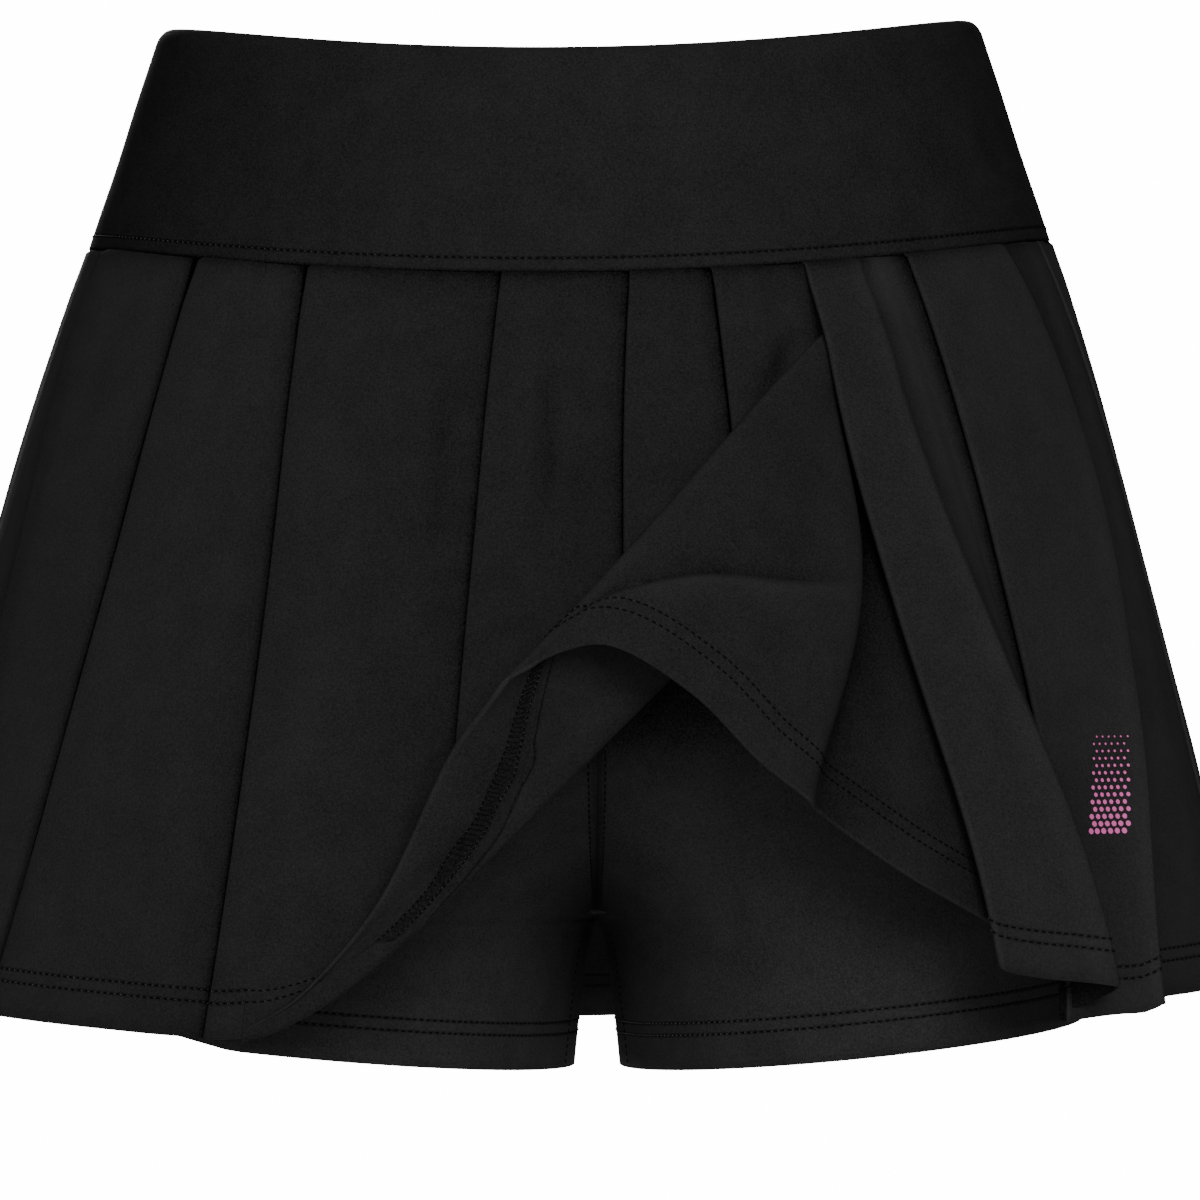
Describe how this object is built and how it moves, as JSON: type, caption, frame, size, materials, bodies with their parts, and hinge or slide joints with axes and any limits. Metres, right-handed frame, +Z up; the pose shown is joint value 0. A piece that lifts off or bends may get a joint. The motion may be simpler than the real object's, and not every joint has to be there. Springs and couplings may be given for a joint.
{
  "type": "tennis skort",
  "caption": "Pleated tennis skort with a wide waistband and inner shorts, filled out as worn, its front hem turned up to show the shorts.",
  "frame": {"origin": "middle of the waist opening, level with the waistband's top edge at the sides", "axes": "+Z up out of the waist, -Y the garment's front, +X to the right of someone who faces its front"},
  "size_m": [0.4681, 0.3746, 0.3477],
  "materials": {
    "waistband_cloth": "matte black stretch knit with a fine grain",
    "skirt_cloth": "matte black stretch knit with a fine grain",
    "shorts_cloth": "matte black stretch knit with a fine grain"
  },
  "bodies": {
    "root": {"waistband_front": "waistband_cloth", "waistband_back": "waistband_cloth", "skirt_front_left": "skirt_cloth", "skirt_front_flap": "skirt_cloth", "skirt_front_right": "skirt_cloth", "skirt_back": "skirt_cloth", "shorts_left_side": "shorts_cloth", "shorts_right_side": "shorts_cloth"}
  },
  "joints": []
}
